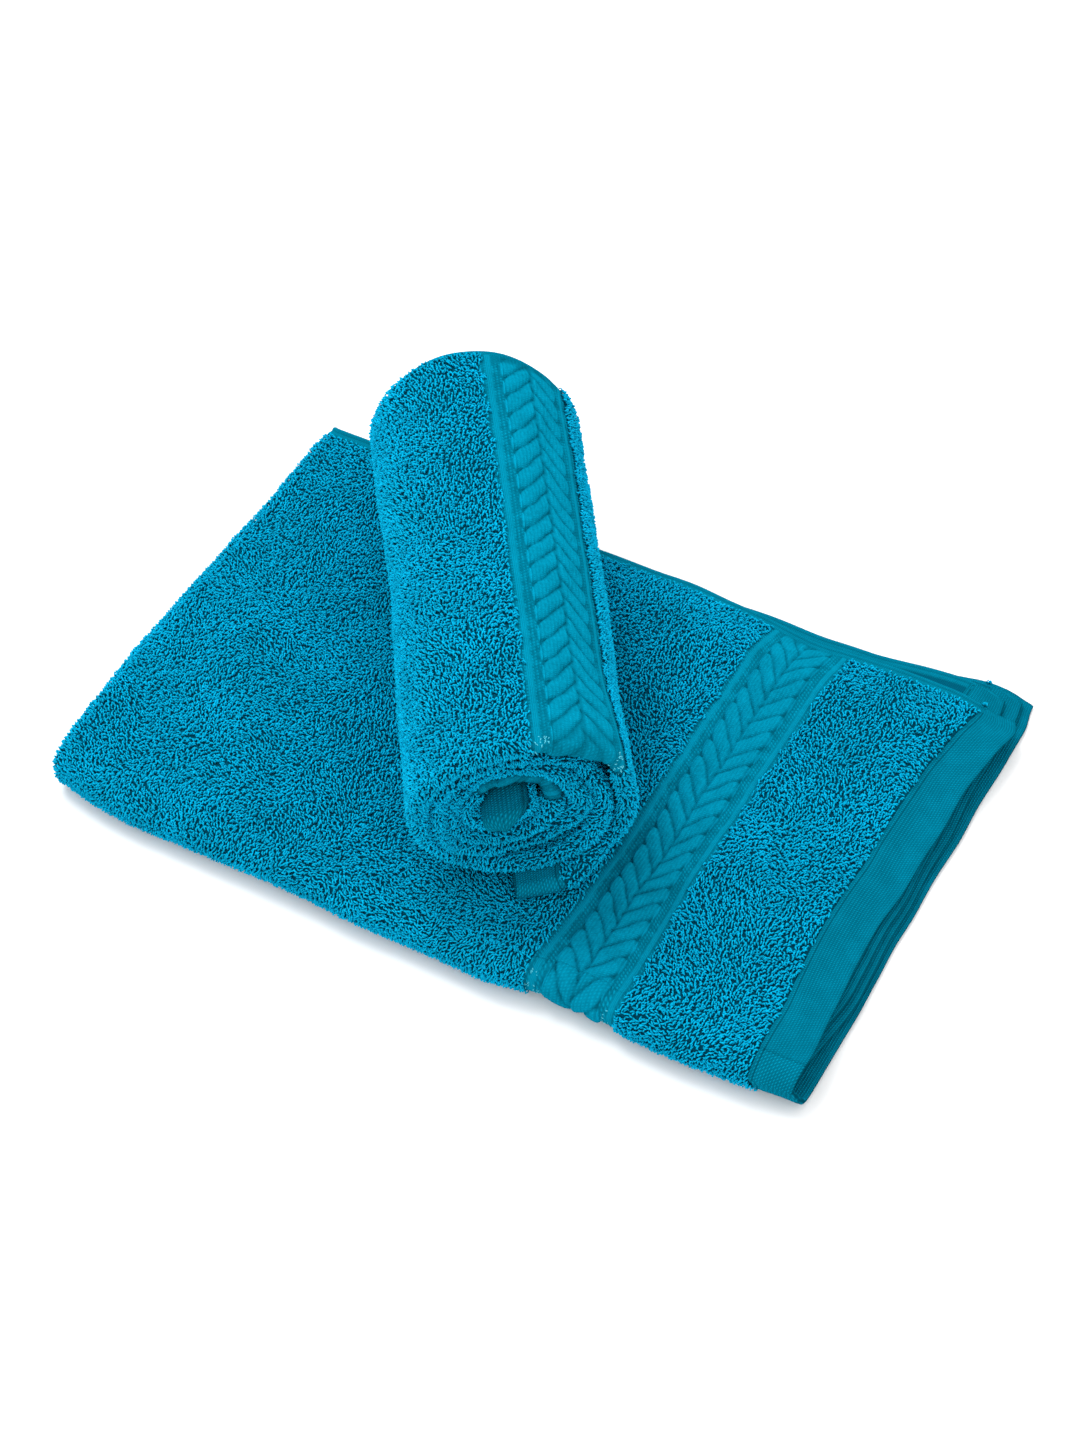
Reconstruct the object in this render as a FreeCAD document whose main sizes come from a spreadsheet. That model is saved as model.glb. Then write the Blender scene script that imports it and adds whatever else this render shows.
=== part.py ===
import FreeCAD, Part
import Sketcher
import math
import os

# A set of two equal terry towels. One is folded end to end and then side to side, so that it
# lies as four plies. The other is folded side to side, rolled up and laid across the first.
#
# Frame: +X along the folded towel from its end fold to its hems, +Y from its long front fold
# to its selvedges, +Z up. The origin is the middle of the underside of the folded towel.

DIMENSIONS = {
    # the cloth as cut
    "towel_width": 405.0,
    "towel_length": 630.0,
    "hem_depth": 16.0,
    "selvedge_width": 7.5,
    "end_strip_width": 48.0,
    "stripe_width": 7.0,
    "chevron_width": 22.0,
    # thicknesses of a laid ply
    "ply": 4.6,
    "ply_gap": 0.4,
    "flat_ply": 2.4,
    "stripe_ply": 3.4,
    # how far the plies lie out of line
    "band_skew": 6.5,
    "hem_skew": 4.0,
    "top_setback": 8.0,
    "inner_setback": 4.0,
    "hem_flare": 2.5,
    # the rolled towel
    "wound_ply": 3.3,
    "wound_pitch": 7.0,
    "roll_half_width": 41.5,
    "roll_half_height": 40.0,
    "roll_turns": 4.75,
    "roll_span": 193.0,
    "roll_start_angle": -72.0,
    "roll_turned": 34.0,
    "roll_centre_x": -23.0,
    "roll_centre_y": 14.5,
    "roll_clearance": 0.3,
}

doc = FreeCAD.newDocument("TowelSet")
sheet = doc.addObject("Spreadsheet::Sheet", "Dimensions")
for row, (alias, value) in enumerate(DIMENSIONS.items(), start=1):
    sheet.set("A%d" % row, alias)
    sheet.set("B%d" % row, str(value))
    sheet.setAlias("B%d" % row, alias)
doc.recompute()

SUB_PARTS = []


def size(alias):
    return float(sheet.get(alias))


def dim(text):
    """Writes a formula in the sheet's words as an expression FreeCAD can bind."""
    words = sorted(DIMENSIONS, key=len, reverse=True)
    out, i = "", 0
    while i < len(text):
        word = next((w for w in words if text.startswith(w, i)), None)
        out += "Dimensions." + word if word else text[i]
        i += len(word) if word else 1
    return out


def origin_plane(body, role):
    return next(o for o in body.Origin.OriginFeatures if o.Role == role)


def new_body(label):
    body = doc.addObject("PartDesign::Body", label)
    body.Label = label
    SUB_PARTS.append(body)
    return body


def sketch_at(body, offsets):
    """A sketch parallel to the XY plane, moved by the formulas in offsets."""
    sketch = body.newObject("Sketcher::SketchObject", body.Name + "_outline")
    sketch.AttachmentSupport = [(origin_plane(body, "XY_Plane"), "")]
    sketch.MapMode = "FlatFace"
    for axis, formula in offsets.items():
        sketch.setExpression(".AttachmentOffset.Base." + axis, dim(formula))
    return sketch


def outline(sketch, corners):
    """A closed outline through four corners, each held by a formula for x and one for y."""
    rough = [(-1, -1), (1, -1), (1, 1), (-1, 1)]
    points = [FreeCAD.Vector(50.0 * x, 50.0 * y, 0) for x, y in rough]
    for i in range(4):
        sketch.addGeometry(Part.LineSegment(points[i], points[(i + 1) % 4]), False)
    for i in range(4):
        sketch.addConstraint(Sketcher.Constraint("Coincident", i, 2, (i + 1) % 4, 1))
    for i, (x, y) in enumerate(corners):
        for kind, formula, start in (("DistanceX", x, points[i].x), ("DistanceY", y, points[i].y)):
            at = sketch.addConstraint(Sketcher.Constraint(kind, -1, 1, i, 1, start))
            sketch.setExpression("Constraints[%d]" % at, dim(formula))


def panel(label, left, right, front, back, low, thick):
    """A flat ply. left and right are pairs of x at the front and at the back."""
    body = new_body(label)
    sketch = sketch_at(body, {"z": low})
    corners = [(left[0], front), (right[0], front), (right[1], back), (left[1], back)]
    outline(sketch, corners)
    pad = body.newObject("PartDesign::Pad", label + "_thickness")
    pad.Profile = sketch
    pad.setExpression("Length", dim(thick))
    sketch.Visibility = False


def bight(label, offsets, corners, axis):
    """Half a tube, where the cloth turns back over itself."""
    body = new_body(label)
    sketch = sketch_at(body, offsets)
    outline(sketch, corners)
    turn = body.newObject("PartDesign::Revolution", label + "_turn")
    turn.Profile = sketch
    turn.ReferenceAxis = (sketch, [axis])
    turn.Midplane = True
    turn.Angle = 180.0
    sketch.Visibility = False


# ---- heights, from the bottom ply up --------------------------------------------------------
PITCH = "(ply + ply_gap)"
LOWER_OUTER = "0"
LOWER_INNER = PITCH
UPPER_INNER = "2 * " + PITCH
UPPER_OUTER = "3 * " + PITCH
MID = "(3 * " + PITCH + " + ply) / 2"


def thin_low(level, thick):
    """The height of a thinner ply that lies in the middle of its level."""
    return level + " + (ply - " + thick + ") / 2"


# ---- lengths --------------------------------------------------------------------------------
OUTER_R = MID
INNER_R = "(" + MID + " - " + PITCH + ")"
END_R = "(" + PITCH + " + ply) / 2"
FRONT = "-towel_width / 4"
REAR = "towel_width / 4"
FOLD_LINE = "(" + FRONT + " + " + OUTER_R + ")"
LEFT = "-towel_length / 4"
END_LINE = "(" + LEFT + " + " + END_R + ")"
HEM_END = "towel_length / 4"


def edges(inset, skew="0"):
    """x at the front and back of a line that runs across the cloth, inset from its hemmed end."""
    return HEM_END + " - (" + inset + ") - " + skew, HEM_END + " - (" + inset + ")"


HEM_OUT = edges("0", "hem_skew")
HEM_IN = edges("hem_depth", "hem_skew")
BAND_OUT = edges("hem_depth + end_strip_width", "band_skew")
CHEVRON_OUT = edges("hem_depth + end_strip_width + stripe_width", "band_skew")
CHEVRON_IN = edges("hem_depth + end_strip_width + stripe_width + chevron_width", "band_skew")
BAND_IN = edges("hem_depth + end_strip_width + 2 * stripe_width + chevron_width", "band_skew")
START = (END_LINE, END_LINE)


def plain(pair):
    """The same line with no skew."""
    return pair[1], pair[1]


def back_of(setback):
    """The line where the pile stops and the selvedge begins, and the selvedge's own edge."""
    return REAR + " - selvedge_width - " + setback, REAR + " - " + setback


# ---- the folded towel: upper half, which lifts about the long front fold ---------------------
pile_back, edge_back = back_of("top_setback")
UPPER_ZONES = [
    ("upper_outer_field", START, BAND_IN, UPPER_OUTER, "ply"),
    ("upper_satin_stripe_field_side", BAND_IN, CHEVRON_IN, thin_low(UPPER_OUTER, "stripe_ply"), "stripe_ply"),
    ("upper_chevron_band", CHEVRON_IN, CHEVRON_OUT, UPPER_OUTER, "ply"),
    ("upper_satin_stripe_hem_side", CHEVRON_OUT, BAND_OUT, thin_low(UPPER_OUTER, "stripe_ply"), "stripe_ply"),
    ("upper_end_strip", BAND_OUT, HEM_IN, UPPER_OUTER, "ply"),
    ("upper_outer_hem", HEM_IN, HEM_OUT, thin_low(UPPER_OUTER, "flat_ply"), "flat_ply"),
]
for label, left, right, low, thick in UPPER_ZONES:
    panel(label, left, right, FOLD_LINE, pile_back, low, thick)
panel(
    "upper_outer_selvedge", START, plain(HEM_OUT), pile_back, edge_back,
    thin_low(UPPER_OUTER, "flat_ply"), "flat_ply",
)

pile_back, edge_back = back_of("inner_setback")
panel("upper_inner_ply", START, plain(HEM_IN), FOLD_LINE, pile_back, UPPER_INNER, "ply")
panel(
    "upper_inner_hem", plain(HEM_IN), plain(edges("hem_flare")), FOLD_LINE, pile_back,
    thin_low(UPPER_INNER, "flat_ply"), "flat_ply",
)
panel(
    "upper_inner_selvedge", START, plain(edges("hem_flare")), pile_back, edge_back,
    thin_low(UPPER_INNER, "flat_ply"), "flat_ply",
)

# ---- the folded towel: lower half, which lies on the surface ---------------------------------
pile_back, edge_back = back_of("hem_flare")
panel("lower_inner_ply", START, plain(HEM_IN), FOLD_LINE, pile_back, LOWER_INNER, "ply")
panel(
    "lower_inner_hem", plain(HEM_IN), plain(edges("hem_flare")), FOLD_LINE, pile_back,
    thin_low(LOWER_INNER, "flat_ply"), "flat_ply",
)
panel(
    "lower_inner_selvedge", START, plain(edges("hem_flare")), pile_back, edge_back,
    thin_low(LOWER_INNER, "flat_ply"), "flat_ply",
)

pile_back, edge_back = back_of("0")
LOWER_ZONES = [
    ("lower_outer_field", START, plain(BAND_IN), LOWER_OUTER, "ply"),
    ("lower_border_band", plain(BAND_IN), plain(BAND_OUT), thin_low(LOWER_OUTER, "stripe_ply"), "stripe_ply"),
    ("lower_end_strip", plain(BAND_OUT), plain(HEM_IN), LOWER_OUTER, "ply"),
    ("lower_outer_hem", plain(HEM_IN), plain(HEM_OUT), thin_low(LOWER_OUTER, "flat_ply"), "flat_ply"),
]
for label, left, right, low, thick in LOWER_ZONES:
    panel(label, left, right, FOLD_LINE, pile_back, low, thick)
panel(
    "lower_outer_selvedge", START, plain(HEM_OUT), pile_back, edge_back,
    thin_low(LOWER_OUTER, "flat_ply"), "flat_ply",
)

# ---- the long front fold: the outer ply turns round the inner one ----------------------------
FRONT_AXIS = {"y": FOLD_LINE, "z": MID}
THIN_OUT = "(" + OUTER_R + " - (ply - flat_ply) / 2)"
STRIPE_OUT = "(" + OUTER_R + " - (ply - stripe_ply) / 2)"


def front_bight(label, left, right, outside, thick):
    far, near = "-" + outside, "-(" + outside + " - " + thick + ")"
    corners = [(left, far), (right, far), (right, near), (left, near)]
    bight(label, FRONT_AXIS, corners, "H_Axis")


front_bight("front_fold_field", END_LINE, BAND_IN[0], OUTER_R, "ply")
front_bight("front_fold_border", BAND_IN[0], BAND_OUT[0], STRIPE_OUT, "stripe_ply")
front_bight("front_fold_end_strip", BAND_OUT[0], HEM_IN[0], OUTER_R, "ply")
front_bight("front_fold_hem", HEM_IN[0], HEM_OUT[0], THIN_OUT, "flat_ply")
front_bight("front_fold_inner_ply", END_LINE, HEM_IN[0], INNER_R, "ply")
front_bight("front_fold_inner_hem", HEM_IN[0], HEM_OUT[0], "(flat_ply + " + PITCH + ") / 2", "flat_ply")

# ---- the two end folds, where the towel was first folded end to end ---------------------------
for label, level, setback in (
    ("upper_end_fold", UPPER_INNER, "inner_setback"),
    ("lower_end_fold", LOWER_OUTER, "0"),
):
    edge = back_of(setback)[1]
    corners = [
        ("-" + END_R, FOLD_LINE), ("-ply_gap / 2", FOLD_LINE),
        ("-ply_gap / 2", edge), ("-" + END_R, edge),
    ]
    bight(label, {"x": END_LINE, "z": level + " + " + END_R}, corners, "V_Axis")

doc.recompute()

# ---- the rolled towel -------------------------------------------------------------------------
# Two plies, joined along the fold at the front end of the roll, are wound together. The middle
# of the pair follows a slightly flattened Archimedean spiral from the hem that lies underneath.
PITCHED = size("wound_pitch")
WOUND = size("wound_ply")
ASPECT = size("roll_half_height") / size("roll_half_width")
START_ANGLE = math.radians(size("roll_start_angle"))
OUTER_RADIUS = size("roll_half_width")
TOTAL_TURN = 2 * math.pi * size("roll_turns")
SPAN = size("roll_span")
STEPS_PER_TURN = 24


def wound_point(turned, inset, along=0.0):
    """A point of the roll's section, inset from the outside of the pair, at a place along it."""
    radius = OUTER_RADIUS - PITCHED * turned / (2 * math.pi) - inset
    angle = START_ANGLE + turned
    return FreeCAD.Vector(radius * math.cos(angle), along, radius * ASPECT * math.sin(angle))


def turn_length(turned, step=0.01):
    """The length of cloth from the outer hem to a point of the spiral."""
    middle = [wound_point(step * i, PITCHED / 2) for i in range(int(turned / step) + 1)]
    return sum(a.distanceToPoint(b) for a, b in zip(middle, middle[1:]))


def turn_after(length, step=0.01):
    """How far round the spiral a length of cloth reaches, measured from the outer hem."""
    turned, gone = 0.0, 0.0
    while gone < length and turned < TOTAL_TURN:
        here, there = (wound_point(turned + s, PITCHED / 2) for s in (0, step))
        gone += here.distanceToPoint(there)
        turned += step
    return turned


OUTSIDE = [wound_point(math.radians(degree), 0.0) for degree in range(361)]
STACK_TOP = 4 * size("ply") + 3 * size("ply_gap")
ROLL_PLACE = FreeCAD.Placement(
    FreeCAD.Vector(
        size("roll_centre_x"), size("roll_centre_y"),
        STACK_TOP + size("roll_clearance") - min(point.z for point in OUTSIDE),
    ),
    FreeCAD.Rotation(FreeCAD.Vector(0, 0, 1), size("roll_turned")),
)


def spiral_edge(first, last, inset, along):
    count = max(4, int(math.ceil((last - first) / (2 * math.pi) * STEPS_PER_TURN)))
    places = [first + (last - first) * i / count for i in range(count + 1)]
    points = [wound_point(place, inset, along) for place in places]
    curve = Part.BSplineCurve()
    curve.interpolate(points)
    return curve.toShape()


def wound(label, first, last, outside, thick, front, back):
    """A stretch of wound cloth between two turns, from front to back along the roll."""
    edges_of = [spiral_edge(first, last, inset, front) for inset in (outside, outside + thick)]
    for at in (first, last):
        corners = [wound_point(at, inset, front) for inset in (outside, outside + thick)]
        edges_of.append(Part.LineSegment(*corners).toShape())
    face = Part.Face(Part.Wire(Part.__sortEdges__(edges_of)))
    feature = doc.addObject("Part::Feature", label)
    feature.Label = label
    feature.Shape = face.extrude(FreeCAD.Vector(0, back - front, 0))
    feature.Placement = ROLL_PLACE
    SUB_PARTS.append(feature)


FRONT_END = -SPAN / 2
BACK_END = SPAN / 2
FOLD_DEPTH = size("wound_ply")
EDGE_WIDTH = size("selvedge_width")
FLAT = size("flat_ply")
FREE_LENGTH = size("hem_depth")
pile_from, pile_to = FRONT_END + FOLD_DEPTH, BACK_END - EDGE_WIDTH

marks = [0.0]
for width in ("hem_depth", "end_strip_width", "stripe_width", "chevron_width", "stripe_width"):
    marks.append(marks[-1] + size(width))
turns = [turn_after(mark) for mark in marks]
core = turn_after(turn_length(TOTAL_TURN) - size("hem_depth"))
STRIPE = size("stripe_ply") - 0.4

OUTER_PLY = [
    ("roll_outer_hem", turns[0], turns[1], (WOUND - FLAT) / 2, FLAT),
    ("roll_end_strip", turns[1], turns[2], 0.0, WOUND),
    ("roll_satin_stripe_hem_side", turns[2], turns[3], (WOUND - STRIPE) / 2, STRIPE),
    ("roll_chevron_band", turns[3], turns[4], 0.0, WOUND),
    ("roll_satin_stripe_field_side", turns[4], turns[5], (WOUND - STRIPE) / 2, STRIPE),
    ("roll_outer_field", turns[5], core, 0.0, WOUND),
    ("roll_core_hem", core, TOTAL_TURN, (WOUND - FLAT) / 2, FLAT),
]
for label, first, last, outside, thick in OUTER_PLY:
    wound(label, first, last, outside, thick, pile_from, pile_to)

SECOND = WOUND + 0.2
wound("roll_inner_ply_outer_hem", turns[0], turns[1], SECOND + (WOUND - FLAT) / 2, FLAT, pile_from, pile_to)
wound("roll_inner_ply", turns[1], core, SECOND, WOUND, pile_from, pile_to)
wound("roll_inner_ply_core_hem", core, TOTAL_TURN, SECOND + (WOUND - FLAT) / 2, FLAT, pile_from, pile_to)
wound("roll_front_fold", turns[0], TOTAL_TURN, 0.0, SECOND + WOUND, FRONT_END, pile_from)
for label, outside in (("roll_outer_selvedge", 0.0), ("roll_inner_selvedge", SECOND)):
    wound(label, turns[0], TOTAL_TURN, outside + (WOUND - FLAT) / 2, FLAT, pile_to, BACK_END)

doc.recompute()

# ---- check every object, then write each sub-part ----------------------------------------------
for obj in doc.Objects:
    if "Invalid" in obj.State or "Error" in obj.State:
        raise RuntimeError("%s did not recompute: %s" % (obj.Name, obj.State))
for obj in SUB_PARTS:
    shape = obj.Shape
    if shape.isNull() or not shape.isValid() or shape.Volume <= 0 or len(shape.Solids) != 1:
        raise RuntimeError("%s is not one valid solid" % obj.Label)

os.makedirs("parts", exist_ok=True)
for obj in SUB_PARTS:
    obj.Shape.exportStep("parts/%s.step" % obj.Label)
print("wound length %.0f mm of %.0f" % (turn_length(TOTAL_TURN), size("towel_length")))
print("wrote", len(SUB_PARTS), "sub-parts")
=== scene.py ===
"""Two terry towels, one folded flat and one rolled up on it: cloth, pile, woven borders, hems and selvedges.

Lengths are in millimetres and angles in radians, and make_piece turns the points into metres.
A place on a towel's cloth is (u, v, h). u runs along its length from the hem that lies outside, v across its
width from the side-to-side fold in its middle, and h out of the middle of the cloth, to the face that shows
where h > 0.
"""
import math
from types import SimpleNamespace

import bpy
import numpy as np
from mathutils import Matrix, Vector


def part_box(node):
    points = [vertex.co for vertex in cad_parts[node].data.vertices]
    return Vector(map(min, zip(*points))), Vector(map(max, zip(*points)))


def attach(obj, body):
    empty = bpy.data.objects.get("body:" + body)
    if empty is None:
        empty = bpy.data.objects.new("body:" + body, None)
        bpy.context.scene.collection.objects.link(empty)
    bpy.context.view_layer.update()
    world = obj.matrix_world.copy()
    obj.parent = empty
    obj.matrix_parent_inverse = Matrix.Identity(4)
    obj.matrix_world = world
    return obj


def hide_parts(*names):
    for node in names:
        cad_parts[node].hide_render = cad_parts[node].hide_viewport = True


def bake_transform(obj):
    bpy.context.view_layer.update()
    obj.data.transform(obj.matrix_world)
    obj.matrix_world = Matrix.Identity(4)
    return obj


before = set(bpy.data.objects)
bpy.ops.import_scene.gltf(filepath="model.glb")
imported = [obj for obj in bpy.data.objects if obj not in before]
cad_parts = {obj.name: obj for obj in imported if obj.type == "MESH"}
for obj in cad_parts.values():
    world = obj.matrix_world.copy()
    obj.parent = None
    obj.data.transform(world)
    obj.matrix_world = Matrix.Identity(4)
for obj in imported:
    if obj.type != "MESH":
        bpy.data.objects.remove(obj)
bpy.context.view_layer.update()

MM = 0.001
GROUND = 0.45                   # half the thickness of the ground cloth that carries the pile

# Widths of the cloth's zones, from the end of the towel inward.
HEM = 16.0
END_STRIP = 48.0
BORDER = 36.0                   # chevron with a stripe on each side
CHEVRON_HALF = 11.0
RIB_IN, RIB_OUT = 13.5, 15.5    # the raised satin rib in each stripe, from the border's middle
CHEVRON_PITCH = 9.15
MESH_PITCH = 1.3
SELVEDGE = 4.6
BORDER_MIDDLE = HEM + END_STRIP + BORDER / 2

# The pile: one bent loop of yarn every PILE_GAP.
PILE_GAP = 1.17
HIDDEN_GAP = 1.6                # where the pile lies between the plies or underneath
PILE_HEIGHT = 1.85
LOOP_SPAN = 1.35
YARN = 0.33
MOST_LOOPS = 8200               # in one piece

# The roll. The figures are those of its CAD solids.
ROLL_RADIUS, ROLL_HALF_HEIGHT = 41.5, 40.0
ROLL_TURNS = 4.75
ROLL_PITCH = 7.0                # how much nearer to the middle each turn lies than the last
ROLL_PAIR = 6.8                 # thickness of the two plies that are wound together
ROLL_START = math.radians(-72)  # where the outer hem lies round the roll, from its right side
ROLL_TURNED = math.radians(34)  # how far the roll's axis is turned from +Y
ROLL_CENTRE = (-23.0, 14.5)
ROLL_HALF_SPAN = 96.5
ROLL_STANDS = 0.951             # how high its middle is over its pressed underside, in half heights
ROLL_CLEAR = 0.3                # between the roll and what it lies on


def corner(node, high):
    """A CAD node's lowest or highest corner, in millimetres."""
    return np.array(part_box(node)[int(high)]) / MM


def smooth(value, low, high):
    """0 below low, 1 above high, and a soft step between."""
    t = np.clip((value - low) / (high - low), 0, 1)
    return t * t * (3 - 2 * t)


DRIFT_CELLS = 64                # along each side, before the noise repeats


def drift(x, y, cell, seed):
    """Smooth noise from -1 to 1 over a plane, with features about one cell wide."""
    table = np.random.default_rng(seed).uniform(-1, 1, (DRIFT_CELLS, DRIFT_CELLS))
    gx, gy = np.broadcast_arrays(np.asarray(x, float) / cell, np.asarray(y, float) / cell)
    ix, iy = np.floor(gx).astype(int), np.floor(gy).astype(int)
    fx, fy = smooth(gx - ix, 0, 1), smooth(gy - iy, 0, 1)
    this_x, next_x, this_y, next_y = (i % DRIFT_CELLS for i in (ix, ix + 1, iy, iy + 1))
    low = table[this_x, this_y] * (1 - fx) + table[next_x, this_y] * fx
    high = table[this_x, next_y] * (1 - fx) + table[next_x, next_y] * fx
    return low * (1 - fy) + high * fy


class FoldedTowel:
    """The folded towel's cloth. v is below 0 in the lower half and above 0 in the upper half."""

    # How far the cloth lies off the straight: the front fold along x, and the folded end along y.
    FRONT_LINE = ((-157, -60, 0, 35, 62, 76, 92, 110, 130, 157),
                  (-3.5, -2.8, -2.2, -0.8, 3.1, 3.5, 1.8, 1.7, 3.6, 5.7))
    LEFT_LINE = ((-100, -60, -20, 20, 60, 85), (-1.2, 0.4, 1.8, 1.6, 2.2, 4.8))
    # The heights where each ply ends and the next begins, and at those heights how far the plies have slipped
    # back at the selvedges, how much more beyond the middle, and how much more again near the hems.
    PLY_STEPS = (4.6, 5.0, 9.6, 10.0, 14.6, 15.0)
    PLY_BACK = (3.8, 5.3, 5.3, 6.0, 6.0, 9.3)
    PLY_PARTING = (0.0, 0.0, 0.0, 2.2, 2.2, -4.0)
    PLY_FAN = (13.5, 11.0, 11.0, 5.0, 5.0, 0.0)
    BACK_AT_FOLDED_END = 8.0        # there they have all slipped back alike

    # How far the hems of the lower plies stick out, and the inner plies draw in at the front corner.
    LOWER_OUT, LOWER_OUT_AT_BACK, BOTTOM_OUT = 2.5, 4.0, 1.8
    INNER_IN_X, INNER_IN_Y = 6.0, 3.0
    # How far the corners are rounded off.
    FRONT_LEFT_X, FRONT_LEFT_Y = 5.0, 2.5
    BACK_RIGHT_X, BACK_RIGHT_TOP_X, BACK_RIGHT_Y = 1.5, 4.0, 3.0
    # What share of their thickness the plies lose toward the selvedges and at the hems.
    SELVEDGE_LOSS, HEM_LOSS = 0.42, 0.36
    # How far the cloth sags at the folded end, and stands up at its edges and corners.
    END_SAG, TOP_EDGE_LIFT, BACK_LEFT_LIFT, FRONT_RIGHT_LIFT = 1.6, 1.5, 5.0, 2.2

    # How far the threads are drawn sideways at the front fold, along x, and the wave in the top hem, from its
    # place at the fold to its middle and to the selvedge.
    THREADS_DRAWN = ((-60, 50, 95, 140), (0, -6.5, -6.5, -4))
    HEM_WAVE = (1.5, 6.0, 6.0)

    def __init__(self):
        self.end_x = corner("upper_end_fold", True)[0]
        self.hem_x = corner("lower_outer_hem", True)[0]
        self.inner_hem_x = corner("upper_inner_hem", True)[0]
        self.fold_y = corner("upper_outer_field", False)[1]
        self.top = corner("upper_outer_field", True)[2]
        pair_top = corner("lower_inner_ply", True)[2]
        self.middle = (pair_top + corner("upper_inner_ply", False)[2]) / 2
        self.turn = self.middle - pair_top / 2
        self.bend = (pair_top - corner("lower_outer_field", True)[2]) / 2
        self.quarter = self.turn * math.pi / 2
        self.run = self.hem_x - self.end_x
        self.end_arc = math.pi * self.bend
        self.length = self.run + self.end_arc + self.inner_hem_x - self.end_x
        self.reach = {side: [self.across(corner(f"{side}_{ply}_selvedge", True)[1])
                             for ply in ("outer", "inner")] for side in ("lower", "upper")}
        self.border_reach = max(self.reach["upper"])

    def across(self, y):
        """How far from the fold's middle, over the cloth, the flat part is at y."""
        return y - self.fold_y + self.quarter

    def edge(self, u, side):
        """v of the selvedge's edge, which the inner ply reaches further out or in than the outer."""
        outer, inner = self.reach[side]
        share = np.clip((u - self.run) / self.end_arc, 0, 1)
        return (outer + (inner - outer) * share) * (1 if side == "upper" else -1)

    def skew(self, x, v):
        """How far the threads are drawn sideways: most at the border's front, and in a wave at the top hem."""
        back = np.abs(v) / self.reach["upper"][0]
        drawn = np.interp(x, *self.THREADS_DRAWN) * (1 - np.clip(back, 0, 1))
        at_fold, middle, selvedge = self.HEM_WAVE
        wave = at_fold - middle * np.sin(math.pi * np.clip(back, 0, 1)) ** 1.2 + selvedge * back ** 2
        return drawn + wave * smooth(x, 80, 150) * smooth(v, 0, 25) * (x > 0)

    def zones(self, x, y, z):
        """Parts of the towel, each 1 where it is full and 0 where it ends, by x, y or z."""
        return SimpleNamespace(
            left=smooth(-x, 40, 155),
            right=smooth(x, 60, 157),
            front=smooth(-y, 20, 100),
            back=smooth(y, 20, 100),
            back_left=smooth(-x, 100, 140) * smooth(y, 40, 85),
            front_left=smooth(-x, 125, 160) * smooth(-y, 65, 105),
            front_right=smooth(x, 120, 157) * smooth(-y, 45, 95),
            back_right=smooth(x, 144, 160) * smooth(y, 82, 100),
            selvedges=smooth(y, 68, 97) * (1 - smooth(-x, 90, 135)),
            hems=smooth(x, 136, 148),
            lower=1 - smooth(z, self.middle - 1, self.middle + 1),
            bottom=1 - smooth(z, 4.7, 5.1),
            top=smooth(z, 14.6, 15.0))

    def slip_x(self, x, y, z, inner, at):
        """How far the two ends lie off the straight."""
        left = at.left * np.interp(y, *self.LEFT_LINE) + self.FRONT_LEFT_X * at.front_left
        rounded = (self.BACK_RIGHT_X + self.BACK_RIGHT_TOP_X * at.top) * at.back_right
        out = at.lower * (self.LOWER_OUT + self.LOWER_OUT_AT_BACK * at.back) + at.bottom * self.BOTTOM_OUT
        right = at.right * out - self.INNER_IN_X * at.front_right * inner
        return left - rounded + right + 1.5 * drift(x, y + 2 * z, 48, 1) + 0.7 * drift(x, y, 17, 2)

    def slip_y(self, x, y, z, inner, at):
        """How far the front fold and the back edge lie off the straight. The plies fan out to the right."""
        ply = np.interp(z, self.PLY_STEPS, self.PLY_BACK)
        parting = np.interp(z, self.PLY_STEPS, self.PLY_PARTING) * smooth(x, 20, 90)
        fan = np.interp(z, self.PLY_STEPS, self.PLY_FAN) * smooth(x, 95, 140)
        back = ply + parting + fan + (self.BACK_AT_FOLDED_END - ply) * smooth(-x, 100, 140)
        front = at.front * np.interp(x, *self.FRONT_LINE) + self.FRONT_LEFT_Y * at.front_left
        rounded = self.INNER_IN_Y * at.front_right * inner + self.BACK_RIGHT_Y * at.back_right
        uneven = 1.5 * drift(x, y - 2 * z, 52, 3) + 0.7 * drift(x, y, 19, 4)
        return front + smooth(y, 10, 95) * back - rounded + uneven

    def height(self, x, y, z, at):
        """z of the settled cloth. One back corner stands up by the roll, and the front corner gapes."""
        thin = 1 - self.SELVEDGE_LOSS * at.selvedges
        thin = thin * (1 - self.HEM_LOSS * at.hems * (1 - 0.9 * at.front) * (1 - 0.7 * at.back))
        uneven = 1.1 * drift(x, y, 42, 5) + 0.4 * drift(x, y, 15, 6)
        sag = self.END_SAG * smooth(-x, 120, 165) * (1 - at.back)
        lift = uneven - sag + self.BACK_LEFT_LIFT * at.back_left + self.FRONT_RIGHT_LIFT * at.front_right
        top_edge = at.top * smooth(y, 78, 96) * smooth(x, 50, 140)
        return z * thin + self.TOP_EDGE_LIFT * top_edge + z / self.top * lift

    def settle(self, x, y, z, inner):
        """How the folded cloth really lies. inner is 1 in the inner ply of each pair and 0 in the outer."""
        at = self.zones(x, y, z)
        dx, dy = self.slip_x(x, y, z, inner, at), self.slip_y(x, y, z, inner, at)
        return x + dx, y + dy, self.height(x, y, z, at)

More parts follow.
